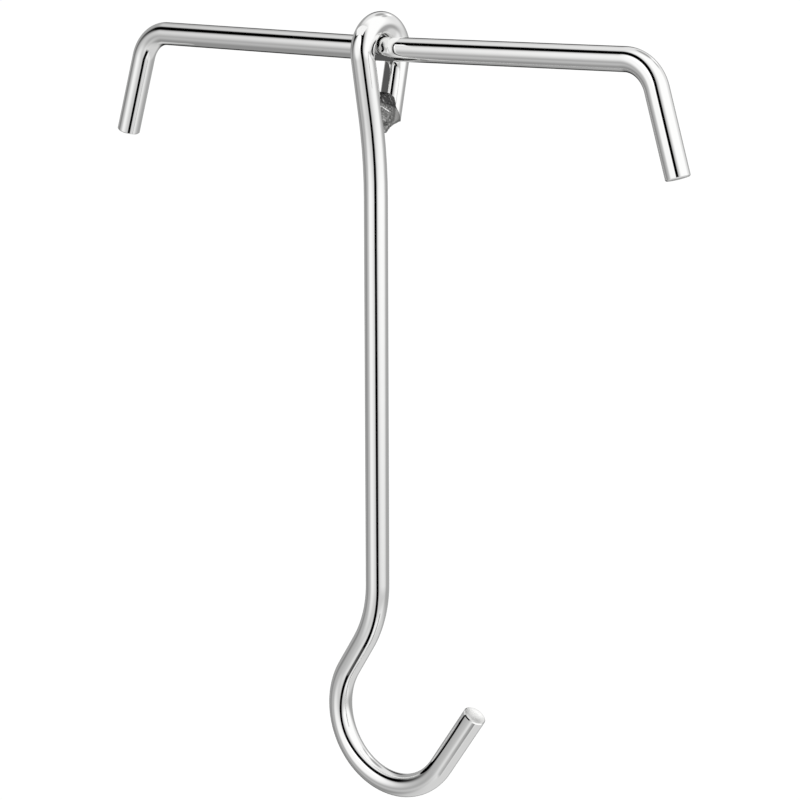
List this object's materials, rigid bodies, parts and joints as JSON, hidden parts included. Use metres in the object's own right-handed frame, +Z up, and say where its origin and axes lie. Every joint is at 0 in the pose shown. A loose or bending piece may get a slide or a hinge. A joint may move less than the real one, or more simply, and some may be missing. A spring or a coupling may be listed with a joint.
{
  "type": "meat hook",
  "caption": "Polished round-rod meat hook hanging by a closed eye from a loose crossbar with bent-down ends.",
  "frame": {"origin": "on the crossbar's axis, midway between its two bent-down ends, inside the eye that hangs there", "axes": "+Z up, +X along the crossbar towards the side of the hook's tip, +Y towards the side of the eye's cut tail"},
  "size_m": [0.244, 0.0262, 0.2679],
  "materials": {
    "polished_steel": "bright polished stainless steel rod, not plated",
    "weld_metal": "rippled stainless weld metal, brightened but left rough"
  },
  "bodies": {
    "crossbar": {"crossbar": "polished_steel"},
    "hook": {"hook_rod": "polished_steel", "tail_weld_right": "weld_metal", "tail_weld_left": "weld_metal", "tail_weld_toe": "weld_metal"}
  },
  "joints": [
    {"name": "eye_swing", "type": "hinge", "parent": "crossbar", "child": "hook", "pos_m": [0, 0, 0], "axis": [1, 0, 0], "continuous": true}
  ]
}
